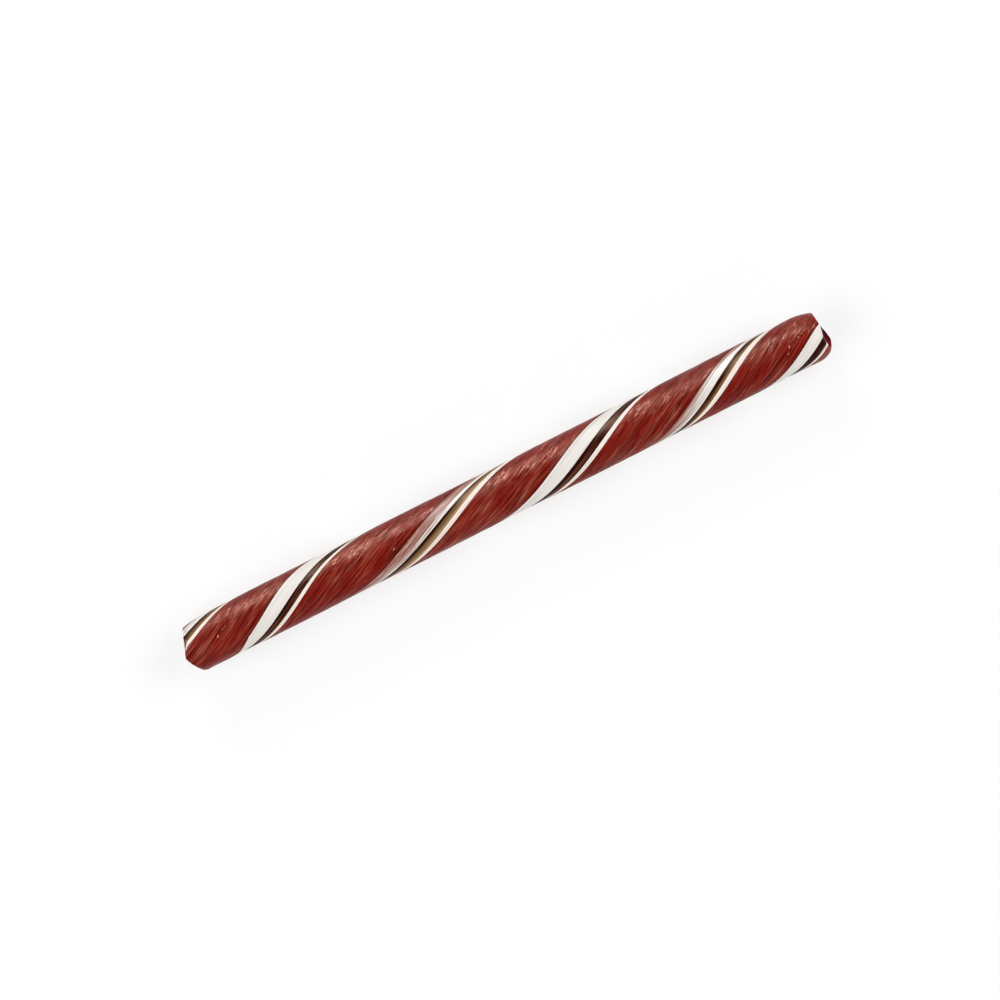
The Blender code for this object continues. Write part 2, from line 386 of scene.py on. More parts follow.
def stations():
    """Distances from the left end of the rings of points.

    Even steps in the middle, and closer ones towards an end, by a power.
    """
    ends = END_SPAN * np.linspace(0.0, 1.0, END_RINGS + 1)[:-1] ** END_CROWDING
    middle = np.linspace(END_SPAN, LENGTH - END_SPAN, RINGS)
    return np.concatenate((ends, middle, LENGTH - ends[::-1]))


def waves(x, seed, lengths, count):
    """A wandering line of about unit size: a sum of sines of different lengths along x."""
    random = np.random.default_rng(seed)
    total = np.zeros_like(x)
    for length in np.linspace(*lengths, count):
        total = total + np.sin(TURN * (x / length + random.random())) * random.uniform(0.5, 1.0)
    return total / math.sqrt(count)


def swell(x, relief):
    """How far the whole section is thinned at each x: a wandering line held from 0 to 1."""
    return relief * np.clip(0.5 + 0.5 * waves(x, *SWELL_WAVES), 0.0, 1.0)


def strip_edges(band, x, wobble):
    """Angles of a band's four edges at each x, from its upper edge down.

    Each is the one before less a strip's width over the radius, plus its own wander.
    """
    shape = BANDS[band]
    places = np.array(shape["places"]) * MM
    edge = np.radians(np.interp(x, places, shape["upper_edge"]))
    edges = [edge]
    for strip in STRIPS:
        edge = edge - MM * np.interp(x, places, shape[strip]) / LOBE_RADIUS
        edges.append(edge)
    first_seed = 10 * (1 + list(BANDS).index(band))
    return [
        edge + (trim + wobble * waves(x, first_seed + k, *EDGE_WAVES)) / LOBE_RADIUS
        for k, (edge, trim) in enumerate(zip(edges, GLARE_TRIM))
    ]


def ripples(y, z, relief):
    """Shell-like ripples of a snap, from 0 to 2.6 times the relief: slightly bent rings round
    a point on the rim, which die out across the face, and a finer grain of crossed sines."""
    far = np.hypot(y - SNAP_Y, z - SNAP_Z)
    bend = 1.3 * np.sin(3.0 * np.arctan2(z, y))
    rings = 1.0 + np.sin(TURN * far / RIPPLE_SPACING + bend)
    first, second = GRAIN_SPACING
    grain = np.sin(TURN * (y + 0.6 * z) / first) * np.sin(TURN * (z - 0.4 * y) / second)
    return relief * (rings * np.exp(-far / RIPPLE_REACH) + GRAIN_SHARE * (1.0 + grain))


def left_face(y, z, relief):
    """How far the left end's face lies behind the stick's tip: straight on one side of the
    ridge, the side distance to the power 1.5 on the other, a flat-bottomed chip that falls
    off with the fourth power of the distance from its middle, and a share of the ripples."""
    side = y - LEFT_RIDGE_Y
    straight = LEFT_SLOPE * np.maximum(side, 0.0)
    rounded = LEFT_ROUND * MM * (np.maximum(-side, 0.0) / MM) ** 1.5
    from_chip = np.hypot(y - CHIP_Y, z - CHIP_Z) / CHIP_RADIUS
    smooth = straight + rounded + CHIP_DEPTH * np.exp(-(from_chip**4))
    return smooth + LEFT_RIPPLE_SHARE * ripples(y, z, relief)


def right_face(y, z, relief):
    """How far the right end's face lies behind the stick's tip: level at the rim, less a dome
    and a nub that are bell curves, falling back evenly past the fold, and leaning back evenly
    above a height on the -Y side, which fades in as a smooth step, with the ripples."""
    from_dome = np.hypot(y - DOME_Y, z - DOME_Z) / DOME_RADIUS
    from_nub = np.hypot(y - NUB_Y, z - NUB_Z) / NUB_RADIUS
    dome = DOME_HEIGHT * np.exp(-(from_dome**2)) + NUB_HEIGHT * np.exp(-(from_nub**2))
    fold = FOLD_SLOPE * np.maximum(y - FOLD_Y, 0.0)
    lean = LEAN_SLOPE * np.maximum(z - LEAN_Z, 0.0) * (0.5 - 0.5 * np.tanh(y / LEAN_BLEND))
    return RIGHT_SETBACK - dome + fold + lean + ripples(y, z, relief)


def end_drop(distance, phi, rim):
    """How much an end is drawn in at a distance behind it: a square-law neck on the +Y side,
    and a rim rounded as a quarter of an ellipse. Its depth goes from sharp to blunt with the
    fifth power of the share of the way from the +Y side to the -Y side."""
    upper_side = 0.5 + 0.5 * np.sin(phi)
    neck_depth, neck_length, depth, length = rim
    neck = neck_depth * upper_side**2 * np.maximum(1.0 - distance / neck_length, 0.0) ** 2
    edge = SHARP_EDGE + (depth - SHARP_EDGE) * (1.0 - upper_side) ** 5
    curve = np.clip(1.0 - distance / length, 0.0, 1.0)
    return neck + edge * (1.0 - np.sqrt(1.0 - curve**2))


def place(start, theta, depth, relief, proud=0.0):
    """World points of a section's rings, from stations, strand angles and depths.

    A ring lies at its station in the middle of the stick and follows the end's face near an
    end. The turn depends on where a point ends up, so both are found together.
    """
    start = start[:, None]
    left_share = np.maximum(1.0 - start / END_REACH, 0.0)
    right_share = np.maximum(1.0 - (LENGTH - start) / END_REACH, 0.0)
    x = np.broadcast_to(start, theta.shape)
    for _ in range(TURN_PASSES):
        phi = twist(x) + theta
        drop = end_drop(start, phi, LEFT_RIM) + end_drop(LENGTH - start, phi, RIGHT_RIM)
        radius = LOBE_RADIUS - depth - drop
        y = radius * np.sin(phi)
        z = radius * np.cos(phi)
        back_left = left_share * (left_face(y, z, relief) - proud)
        back_right = right_share * (right_face(y, z, relief) - proud)
        x = start + back_left - back_right
    return np.stack((x + LEFT_TIP, y, np.maximum(z + AXIS_HEIGHT, 0.0)), axis=-1)


def end_rings(rim, shares):
    """Flat rings inside a rim, from its middle out."""
    centre = rim.mean(axis=0)
    return centre + shares[:, None, None] * (rim - centre)


def capped(rings, relief, proud, face_rings):
    """A section's rings with rings laid on both end faces, as one grid from pole to pole."""
    shares = np.linspace(0.0, 1.0, face_rings + 1)[:-1]
    left = end_rings(rings[0], shares)
    left[..., 0] = LEFT_TIP + left_face(left[..., 1], left[..., 2] - AXIS_HEIGHT, relief) - proud
    right = end_rings(rings[-1], shares)
    back = right_face(right[..., 1], right[..., 2] - AXIS_HEIGHT, relief) - proud
    right[..., 0] = LEFT_TIP + LENGTH - back
    return np.concatenate((left, rings, right[::-1]))


def pole_to_pole(values):
    """One value for each point of grids whose first and last rings are poles."""
    count, _, _, *kind = values.shape
    inner = values[:, 1:-1].reshape(count, -1, *kind)
    return np.concatenate((values[:, 0, :1], inner, values[:, -1, :1]), axis=1)


def grid_mesh(name, grids, attributes):
    """A mesh of closed grids, each with its first and last rings drawn in to poles.

    Quads between rings are split along the strands, so that they keep to the round.
    """
    pieces, rows, count, _ = grids.shape
    points = pole_to_pole(grids)
    j = np.arange(count)
    after = (j + 1) % count
    here = 1 + np.arange(rows - 3)[:, None] * count
    a, b = here + j, here + after
    c, d = a + count, b + count
    last = points.shape[1] - 1
    end = last - count
    faces = np.concatenate(
        (
            np.stack((np.zeros_like(j), 1 + j, 1 + after), axis=-1),
            np.stack((a, c, b), axis=-1).reshape(-1, 3),
            np.stack((c, d, b), axis=-1).reshape(-1, 3),
            np.stack((np.full_like(j, last), end + after, end + j), axis=-1),
        )
    )
    faces = faces + points.shape[1] * np.arange(pieces)[:, None, None]
    mesh = bpy.data.meshes.new(name)
    mesh.vertices.add(points.shape[0] * points.shape[1])
    mesh.vertices.foreach_set("co", points.ravel())
    mesh.loops.add(faces.size)
    mesh.loops.foreach_set("vertex_index", faces.ravel())
    mesh.polygons.add(faces.size // 3)
    mesh.polygons.foreach_set("loop_start", np.arange(faces.size // 3) * 3)
    mesh.update(calc_edges=True)
    mesh.validate()
    mesh.shade_smooth()
    mesh.set_sharp_from_angle(angle=math.radians(SHARP_ANGLE_DEG))
    for key, values in attributes.items():
        values = pole_to_pole(values)
        kind, field = ("FLOAT", "value") if values.ndim == 2 else ("FLOAT_VECTOR", "vector")
        mesh.attributes.new(key, kind, "POINT").data.foreach_set(field, values.ravel())
    return mesh


def strand_space(points, theta):
    """The strands' own space, in millimetres: each point's place in the untwisted section
    and along the stick. Colour and relief that belong to the strands are laid out in it."""
    radius = np.hypot(points[..., 1], points[..., 2] - AXIS_HEIGHT)
    along = points[..., 0] - LEFT_TIP
    return np.stack((radius * np.cos(theta), radius * np.sin(theta), along), axis=-1) / MM


def over_faces(values, face_rings):
    """Values of a section's rings, carried on over the rings of both end faces."""
    width = [(face_rings, face_rings)] + [(0, 0)] * (values.ndim - 1)
    return np.pad(values, width, mode="edge")


def spread(start, stop, shares):
    """Angles from one edge to another at the given shares of the way, at each station."""
    return start[:, None] + (stop - start)[:, None] * shares


def strand_ridges(theta, x, relief):
    """Height of the ridges along the strands.

    Rings of random heights are smoothed round the section, so that a ridge is the lower the
    finer it is, and each ring fades into the next along the stick.
    """
    random = np.random.default_rng(RIDGE_SEED)
    rings = random.standard_normal((int(LENGTH / RIDGE_SPAN) + 6, RIDGE_SAMPLES))
    order = np.arange(RIDGE_SAMPLES // 2 + 1)
    weight = np.exp(-((order / RIDGE_FINEST) ** 2)) / (1.0 + order / RIDGE_COARSEST)
    weight[order < RIDGE_COARSEST] = 0.0
    rings = np.fft.irfft(np.fft.rfft(rings, axis=1) * weight, axis=1)
    rings /= rings.std()
    row = x / RIDGE_SPAN + 2.0
    first = np.floor(row).astype(int)
    blend = row - first
    blend = blend * blend * (3.0 - 2.0 * blend)
    column = theta / TURN * RIDGE_SAMPLES
    left = np.floor(column).astype(int)
    aside = column - left
    left, right = left % RIDGE_SAMPLES, (left + 1) % RIDGE_SAMPLES
    here = rings[first, left] * (1.0 - aside) + rings[first, right] * aside
    ahead = rings[first + 1, left] * (1.0 - aside) + rings[first + 1, right] * aside
    return relief * (here * (1.0 - blend) + ahead * blend)


def add_piece(context, mesh, materials, node=None):
    """Puts a finished surface in the scene, in place of its solid if it has one."""
    for material in materials:
        mesh.materials.append(material)
    piece = bpy.data.objects.new(mesh.name, mesh)
    context.collection.objects.link(piece)
    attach(piece, "root")
    if node:
        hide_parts(node)


def build_body_mesh(sizes):
    """The red body: two lobes with a channel for a band between them on each side.

    A lobe's depth is a shoulder and a crease, which fall off with the distance from its
    nearer edge, plus the swell, less the strands' ridges, which fade out towards its edges.
    The snapped face takes the second material.
    """
    start = stations()
    upper_a, *_, lower_a = strip_edges("a", start, sizes.edge_wobble)
    upper_b, *_, lower_b = strip_edges("b", start, sizes.edge_wobble)
    seams = (
        (upper_a, lower_b + TURN, upper_b + TURN),
        (upper_b + TURN, lower_a + TURN, upper_a + TURN),
    )
    even = np.linspace(0.0, 1.0, LOBE_POINTS)
    eased = 0.5 - 0.5 * np.cos(math.pi * even)
    across = (1.0 - LOBE_CROWDING) * even + LOBE_CROWDING * eased
    floor_shares = np.linspace(*FLOOR_SHARES, FLOOR_POINTS)
    angles, depths, edges = [], [], []
    for lobe_start, lobe_stop, floor_stop in seams:
        lobe = spread(lobe_start, lobe_stop, across)
        from_wide = (lobe - lobe[:, :1]) * LOBE_RADIUS
        from_narrow = (lobe[:, -1:] - lobe) * LOBE_RADIUS
        from_edge = np.minimum(from_wide, from_narrow)
        fall = SHOULDER_DROP * np.exp(-from_edge / SHOULDER_WIDTH)
        crease = CREASE_DEPTH * np.exp(-from_edge / CREASE_WIDTH)
        fade = 1.0 - np.exp(-from_edge / (2.0 * CREASE_WIDTH))
        ridges = strand_ridges(lobe, start[:, None], sizes.strand_relief) * fade
        floor = spread(lobe_stop, floor_stop, floor_shares)
        angles += [lobe, floor]
        depths += [fall + crease - ridges, np.full_like(floor, CHANNEL_DEPTH)]
        edges += [np.stack((from_wide, from_narrow), axis=-1), np.zeros((*floor.shape, 2))]
    theta = np.concatenate(angles, axis=1)
    depth = np.concatenate(depths, axis=1) + swell(start, sizes.lump_relief)[:, None]
    rings = place(start, theta, np.maximum(depth, 0.0), sizes.fracture_relief)
    rings = capped(rings, sizes.fracture_relief, 0.0, BODY_FACE_RINGS)
    theta = over_faces(theta, BODY_FACE_RINGS)
    lobe = over_faces(np.concatenate(edges, axis=1) / MM, BODY_FACE_RINGS)
    cut = np.zeros((*theta.shape, 1))
    cut[:BODY_FACE_RINGS] = PINCHED_MARK
    cut[-BODY_FACE_RINGS:] = SNAPPED_MARK
    lobe = np.concatenate((lobe, cut), axis=-1)
    attributes = {"strand": strand_space(rings, theta)[None], "lobe": lobe[None]}
    mesh = grid_mesh("red_sugar_body", rings[None], attributes)
    corners = np.zeros(len(mesh.loops), dtype=int)
    mesh.loops.foreach_get("vertex_index", corners)
    snapped = pole_to_pole(lobe[None])[0, :, 2][corners.reshape(-1, 3)] == SNAPPED_MARK
    mesh.polygons.foreach_set("material_index", snapped.any(axis=1).astype(int))
    return mesh


def build_strip_mesh(band, strip, sizes):
    """One strip: its face follows the round of the stick and falls off into a lip at either
    edge, on straight sides that go down to its back. Its sides run on under a higher
    neighbour, where the lip stays at its full depth."""
    start = stations()
    edges = strip_edges(band, start, sizes.edge_wobble)
    order = STRIPS.index(strip)
    tuck_up, tuck_down = TUCK[strip]
    upper = edges[order] + tuck_up / LOBE_RADIUS
    lower = edges[order + 1] - tuck_down / LOBE_RADIUS
    shares = np.linspace(0.0, 1.0, STRIP_POINTS[strip])
    face = spread(lower, upper, shares)
    above_lower = face - edges[order + 1][:, None]
    below_upper = edges[order][:, None] - face
    from_edge = np.maximum(np.minimum(above_lower, below_upper), 0.0) * LOBE_RADIUS
    lip = LIP_DEPTH * np.exp(-from_edge / CREASE_WIDTH)
    ridges = strand_ridges(face, start[:, None], STRIP_RELIEF_SHARE * sizes.strand_relief)
    thinned = swell(start, sizes.lump_relief)[:, None]
    face_depth = np.maximum(FACE_DEPTH[strip] + lip - ridges + thinned, 0.0)
    back_shares = np.linspace(1.0, 0.0, BACK_POINTS)
    back = spread(lower, upper, back_shares)
    theta = np.concatenate((face, back), axis=1)
    depth = np.concatenate((face_depth, np.full_like(back, BACK_DEPTH)), axis=1)
    rings = place(start, theta, depth, sizes.fracture_relief, STRIP_PROUD)
    rings = capped(rings, sizes.fracture_relief, STRIP_PROUD, STRIP_FACE_RINGS)
    theta = over_faces(theta, STRIP_FACE_RINGS)
    across = np.broadcast_to(np.concatenate((shares, back_shares)), theta.shape)
    attributes = {"strand": strand_space(rings, theta)[None], "across": across[None]}
    return grid_mesh(f"sugar_{strip}_{band}", rings[None], attributes)


def bubble_places():
    """Every bubble's distance from the left end, angle from the top, share of the largest
    radius, length over width and paleness: those listed, then small stray ones, but
    for any on the flat that lies on the table."""
    random = np.random.default_rng(STRAY_SEED)
    x = random.uniform(STRAY_END_GAP, LENGTH / MM - STRAY_END_GAP, STRAY_BUBBLES)
    lobe = random.integers(0, 2, STRAY_BUBBLES)
    first, second = STRAY_LOBES_DEG
    in_first = random.uniform(*first, STRAY_BUBBLES)
    in_second = random.uniform(*second, STRAY_BUBBLES)
    theta = np.where(lobe, in_first, in_second)
    phi = np.degrees(twist(x * MM)) + theta
    radius = random.uniform(*STRAY_RADII, STRAY_BUBBLES)
    stretch = random.uniform(*STRAY_STRETCH, STRAY_BUBBLES)
    pale = random.uniform(*STRAY_PALENESS, STRAY_BUBBLES)
    strays = np.stack((x, phi, radius, stretch, pale), axis=1)
    off_table = np.cos(np.radians(phi)) > ON_TABLE
    return np.concatenate((np.array(BUBBLES), strays[off_table]))


def build_bubble_mesh(sizes):
    """Air bubbles: low domes whose height falls off with the square of the distance from
    their middle, drawn out along the strands and closed underneath."""
    x, phi, radius, stretch, pale = bubble_places().T[:, :, None, None]
    x = x * MM
    radius = radius * sizes.bubble_radius
    ring = np.array(BUBBLE_RINGS)[:, None]
    spoke = TURN * np.arange(BUBBLE_SPOKES) / BUBBLE_SPOKES
    along = radius * ring * np.cos(spoke) * stretch
    aside = radius * ring * np.sin(spoke)
    height = BUBBLE_HEIGHT * radius * (1.0 - ring**2) * np.ones_like(along)
    height[:, -1] = -BUBBLE_HEIGHT * radius[:, 0]
    turn = np.radians(phi) + twist(x + along) - twist(x) + aside / LOBE_RADIUS
    drop = end_drop(x, turn, LEFT_RIM) + end_drop(LENGTH - x, turn, RIGHT_RIM)
    skin = LOBE_RADIUS - drop - swell(x, sizes.lump_relief) - BUBBLE_SINK
    out = skin + height
    points = np.stack(
        (x + along + LEFT_TIP, out * np.sin(turn), out * np.cos(turn) + AXIS_HEIGHT), axis=-1
    )
    rim = np.broadcast_to(ring, along.shape)
    look = np.stack((rim, np.broadcast_to(pale, along.shape), np.zeros_like(along)), axis=-1)
    return grid_mesh("sugar_bubbles", points, {"bubble": look})


def add_node(tree, kind, inputs=None, output=None, **settings):
    """Adds a node with its settings, values and links, and returns one of its outputs.

    An input is named by its identifier or its place, and takes a value or another node's
    output. The output returned is the first in use unless one is named.
    """
    made = tree.nodes.new(kind)
    for key, value in settings.items():
        setattr(made, key, value)
    sockets = {socket.identifier: socket for socket in made.inputs}
    for key, value in (inputs or {}).items():
        socket = made.inputs[key] if isinstance(key, int) else sockets[key]
        if isinstance(value, bpy.types.NodeSocket):
            tree.links.new(value, socket)
        else:
            socket.default_value = value
    if output:
        return made.outputs[output]
    return next((socket for socket in made.outputs if socket.enabled), None)


def new_material(name):
    """A material with no nodes yet."""
    material = bpy.data.materials.new(name)
    material.use_nodes = True
    material.node_tree.nodes.clear()
    return material, material.node_tree


def strand_noise(tree, width, length, detail=2.0, seed=0.0):
    """Noise drawn out along the strands, with its marks' width and length in millimetres.

    The strands' space is in millimetres, so it is divided by both sizes and moved by the seed.
    """
    space = add_node(tree, ATTRIBUTE, output="Vector", attribute_name="strand")
    moved = {"Vector": space, "Location": (seed, 2.0 * seed, 0.5 * seed)}
    moved["Scale"] = (1.0 / width, 1.0 / width, 1.0 / length)
    moved = add_node(tree, "ShaderNodeMapping", moved)
    marks = {"Vector": moved, "Scale": 1.0, "Detail": detail, "Roughness": 0.6}
    return add_node(tree, NOISE, marks)


def layered(tree, base, layers):
    """Colours laid over a base, one after another. Each goes from none to its full strength
    as its pattern goes from one value to another."""
    for pattern, start, full, strength, colour in layers:
        share = {"Value": pattern, "From Min": start, "From Max": full, "To Max": strength}
        share = add_node(tree, RANGE, share)
        mixed = {"Factor_Float": share, "A_Color": base, "B_Color": colour}
        base = add_node(tree, MIX, mixed, data_type="RGBA")
    return base


def pulled_red_sugar(colours):
    """Boiled sugar pulled on a hook: clear dark red, drawn into strands with threads of air
    between them. The strands break its satin gloss into streaks, and threads of air show as
    fine tan hairs in bundles. Shade is painted along the seams as a deeper maroon, light is
    painted near the right end as a warmer amber, and it is cloudy on the pinched end."""
    material, tree = new_material("pulled_red_sugar")
    patches = strand_noise(tree, width=1.5, length=5.0)
    lumps = strand_noise(tree, width=1.0, length=2.2, detail=1.0, seed=6.0)
    bundles = strand_noise(tree, width=1.3, length=7.0, detail=1.0, seed=12.0)
    # Strands are about 0.1 mm thick and the threads of air in them 0.05 mm or less. Both are
    # too fine to show, so they are drawn about as wide as a pixel of the photograph.
    lines = strand_noise(tree, width=0.17, length=6.0, seed=3.0)
    threads = strand_noise(tree, width=0.15, length=5.0, detail=1.0, seed=8.0)
    hairs = add_node(tree, MATH, {0: threads, 1: bundles}, operation="MULTIPLY")
    gathered = {"Value": bundles, "From Min": 0.36, "From Max": 0.58, "To Min": 0.35}
    gathered = add_node(tree, RANGE, gathered)
    strands = add_node(tree, MATH, {0: lines, 1: 0.5}, operation="SUBTRACT")
    strands = add_node(tree, MATH, {0: strands, 1: gathered}, operation="MULTIPLY")
    lobe = add_node(tree, ATTRIBUTE, output="Vector", attribute_name="lobe")
    from_wide = add_node(tree, SPLIT, {"Vector": lobe}, "X")
    from_narrow = add_node(tree, SPLIT, {"Vector": lobe}, "Y")
    cut = add_node(tree, SPLIT, {"Vector": lobe}, "Z")
    space = add_node(tree, ATTRIBUTE, output="Vector", attribute_name="strand")
    along = add_node(tree, SPLIT, {"Vector": space}, "Z")
    # Painted light: the red warms to amber towards the right end, up to a line that slants away
    # from the narrow strip.
    glow_line = {0: along, 1: -0.85, 2: from_narrow}
    glow_line = add_node(tree, MATH, glow_line, operation="MULTIPLY_ADD")
    layers = (
        (patches, 0.42, 0.60, 1.0, colours.brown_red),
        (glow_line, -101.5, -105.5, 0.55, colours.end_glow_red),
        (strands, 0.0, -0.07, 1.0, colours.maroon_and_shade),
        (strands, 0.015, 0.10, 1.0, colours.strand_rose),
        (hairs, 0.32, 0.42, 0.4, colours.strand_tan),
        # Painted shade: the red darkens to maroon along both seams.
        (from_wide, 0.75, 0.2, 0.75, colours.maroon_and_shade),
        (from_narrow, 0.25, 0.05, 0.8, colours.maroon_and_shade),
        (cut, 0.0, PINCHED_MARK, 0.8, colours.pinched_red),
    )
    base = layered(tree, colours.deep_red, layers)
    satin = {"Value": lumps, "From Min": 0.42, "From Max": 0.58, "To Min": 0.24, "To Max": 0.46}
    normal = add_node(tree, BUMP, {"Height": lumps, "Distance": 0.30 * MM})
    normal = add_node(tree, BUMP, {"Height": lines, "Distance": 0.06 * MM, "Normal": normal})
    normal = add_node(tree, BUMP, {"Height": threads, "Distance": 0.05 * MM, "Normal": normal})
    look = {
        **SUGAR,
        "Base Color": base,
        "Roughness": add_node(tree, RANGE, satin),
        "Normal": normal,
        "Specular IOR Level": 0.10,
        "Specular Tint": (1.0, 0.54, 0.40, 1.0),
    }
    add_node(tree, OUTPUT, {"Surface": add_node(tree, PRINCIPLED, look)})
    return material


def snapped_red_sugar(colours):
    """The same sugar broken across: clear, so that the eye looks into its dark red depth, which is
    partly painted shade. Light is painted brighter towards the nub, and it is paler where the
    break left it full of small cracks. Its gloss is left out: seen edge on, it would mirror the
    table alone."""
    material, tree = new_material("snapped_red_sugar")
    space = add_node(tree, "ShaderNodeTexCoord", output="Object")
    cracks = {"Vector": space, "Scale": 1.0 / (0.7 * MM), "Detail": 2.0}
    cracks = add_node(tree, NOISE, cracks)
    aside = add_node(tree, SPLIT, {"Vector": space}, "Y")
    layers = (
        # Painted light: the face brightens towards the nub, by its place across the stick.
        (aside, -0.6 * MM, -2.4 * MM, 1.0, colours.nub_glow_red),
        (cracks, 0.55, 0.75, 0.5, colours.strand_rose),
    )
    base = layered(tree, colours.core_red_and_shade, layers)
    normal = add_node(tree, BUMP, {"Height": cracks, "Distance": 0.05 * MM})
    look = {**SUGAR, "Base Color": base, "Normal": normal}
    look |= {"Roughness": 0.22, "Specular IOR Level": 0.0}
    add_node(tree, OUTPUT, {"Surface": add_node(tree, PRINCIPLED, look)})
    return material


def white_sugar(name, colours, main, line_strength):
    """Sugar pulled until the air in it makes it opaque white: smooth and satin, with a few
    grey strands, and a crease near its upper edge where it was folded."""
    material, tree = new_material(name)
    cloud = strand_noise(tree, width=0.5, length=12.0, detail=3.0, seed=5.0)
    reach = strand_noise(tree, width=3.0, length=22.0, detail=1.0, seed=9.0)
    across = add_node(tree, ATTRIBUTE, output="Fac", attribute_name="across")
    away = add_node(tree, MATH, {0: across, 1: 0.76}, operation="SUBTRACT")
    away = add_node(tree, MATH, {0: away}, operation="ABSOLUTE")
    crease = add_node(tree, RANGE, {"Value": away, "From Min": 0.07, "From Max": 0.01})
    reach = add_node(tree, RANGE, {"Value": reach, "From Min": 0.38, "From Max": 0.55})
    crease = add_node(tree, MATH, {0: crease, 1: reach}, operation="MULTIPLY")
    layers = (
        (cloud, 0.45, 0.80, 0.35, colours.white_line),
        (crease, 0.0, 1.0, line_strength, colours.white_line),
    )
    base = layered(tree, main, layers)
    normal = add_node(tree, BUMP, {"Height": cloud, "Distance": 0.05 * MM})
    look = {**SUGAR, "Base Color": base, "Normal": normal}
    look |= {"Roughness": 0.42, "Specular IOR Level": 0.02}
    add_node(tree, OUTPUT, {"Surface": add_node(tree, PRINCIPLED, look)})
    return material


def pearl_sugar(colours):
    """White sugar with fine strands, with painted shade and reflection in pinkish grey towards
    its upper edge, and white on its lower part, which widens to the right."""
    material, tree = new_material("pearl_sugar")
    cloud = strand_noise(tree, width=0.6, length=4.0, seed=7.0)
    strands = strand_noise(tree, width=0.36, length=12.0, seed=2.0)
    across = add_node(tree, ATTRIBUTE, output="Fac", attribute_name="across")
    space = add_node(tree, ATTRIBUTE, output="Vector", attribute_name="strand")
    along = add_node(tree, SPLIT, {"Vector": space}, "Z")
    white_part = {"Value": along, "From Min": 86.0, "From Max": 108.0, "To Min": 0.20}
    border = add_node(tree, RANGE, {**white_part, "To Max": 0.62})
    streaks = {"Value": strands, "From Min": 0.3, "From Max": 0.7}
    wander = add_node(tree, RANGE, {**streaks, "To Min": -0.3, "To Max": 0.3})
    border = add_node(tree, MATH, {0: border, 1: wander})
    near_left_end = add_node(tree, RANGE, {"Value": along, "From Min": 16.0, "From Max": 2.0})
    border = add_node(tree, MATH, {0: near_left_end, 1: 0.45, 2: border}, operation="MULTIPLY_ADD")
    past = add_node(tree, MATH, {0: across, 1: border}, operation="SUBTRACT")
    layers = (
        (past, -0.12, 0.14, 1.0, colours.pearl),
        (past, 0.16, 0.45, 1.0, colours.pearl_edge),
        (cloud, 0.52, 0.72, 0.5, colours.white),
        (strands, 0.47, 0.34, 0.6, colours.pearl_line),
    )
    base = layered(tree, colours.white, layers)
    normal = add_node(tree, BUMP, {"Height": strands, "Distance": 0.07 * MM})
    look = {**SUGAR, "Base Color": base, "Normal": normal}
    look |= {"Roughness": 0.50, "Specular IOR Level": 0.14}
    add_node(tree, OUTPUT, {"Surface": add_node(tree, PRINCIPLED, look)})
    return material


def brown_sugar(name, colours, dark_from, dark_to):
    """Caramel-brown boiled sugar, near black, with bronze strands that also stand for its
    painted sheen. On its lower part a gold reflection is painted, which pales to its edge.
    The dark part begins at a share of the width that goes from one value to another."""
    material, tree = new_material(name)
    strands = strand_noise(tree, width=0.26, length=12.0, seed=4.0)
    across = add_node(tree, ATTRIBUTE, output="Fac", attribute_name="across")
    space = add_node(tree, ATTRIBUTE, output="Vector", attribute_name="strand")
    along = add_node(tree, SPLIT, {"Vector": space}, "Z")
    dark_part = {"Value": along, "From Min": 60.0, "From Max": 105.0, "To Min": dark_from}
    border = add_node(tree, RANGE, {**dark_part, "To Max": dark_to})
    near_left_end = add_node(tree, RANGE, {"Value": along, "From Min": 24.0, "From Max": 4.0})
    past = add_node(tree, MATH, {0: across, 1: border}, operation="SUBTRACT")
    past = add_node(tree, MATH, {0: near_left_end, 1: 0.3, 2: past}, operation="MULTIPLY_ADD")
    streaks = {"Value": strands, "From Min": 0.3, "From Max": 0.7}
    wander = add_node(tree, RANGE, {**streaks, "To Min": -0.22, "To Max": 0.22})
    past = add_node(tree, MATH, {0: past, 1: wander})
    layers = (
        # Bronze strands, which also paint the sheen of the brown.
        (strands, 0.50, 0.62, 0.9, colours.bronze_and_sheen),
        # Painted reflection: gold, then paler gold towards the lower edge.
        (past, 0.06, -0.16, 1.0, colours.gold_reflection),
        (past, -0.2, -0.6, 1.0, colours.pale_gold_reflection),
        (strands, 0.47, 0.36, 0.6, colours.dark_brown),
        (across, 0.60, 0.74, 1.0, colours.dark_brown),
    )
    base = layered(tree, colours.dark_brown, layers)
    normal = add_node(tree, BUMP, {"Height": strands, "Distance": 0.08 * MM})
    look = {**SUGAR, "Base Color": base, "Normal": normal, "Roughness": 0.34}
    look |= {"Specular IOR Level": 0.05, "Specular Tint": (1.0, 0.70, 0.50, 1.0)}
    add_node(tree, OUTPUT, {"Surface": add_node(tree, PRINCIPLED, look)})
    return material


def blister_sugar(colours):
    """A skin of clear red sugar over an air bubble, glassy, with a painted highlight as strong as
    its paleness and painted shade round its foot."""
    material, tree = new_material("blister_sugar")
    bubble = add_node(tree, ATTRIBUTE, output="Vector", attribute_name="bubble")
    rim = add_node(tree, SPLIT, {"Vector": bubble}, "X")
    pale = add_node(tree, SPLIT, {"Vector": bubble}, "Y")
    layers = (
        # Painted highlight: the dome turns paler by its paleness.
        (pale, 0.0, 1.0, 1.0, colours.blister_highlight),
        # Painted shade: the dome darkens to maroon round its foot.
        (rim, 0.5, 0.95, 1.0, colours.maroon_and_shade),
    )
    base = layered(tree, colours.deep_red, layers)
    look = {**SUGAR, "Base Color": base, "Roughness": 0.15, "Specular IOR Level": 0.08}
    add_node(tree, OUTPUT, {"Surface": add_node(tree, PRINCIPLED, look)})
    return material


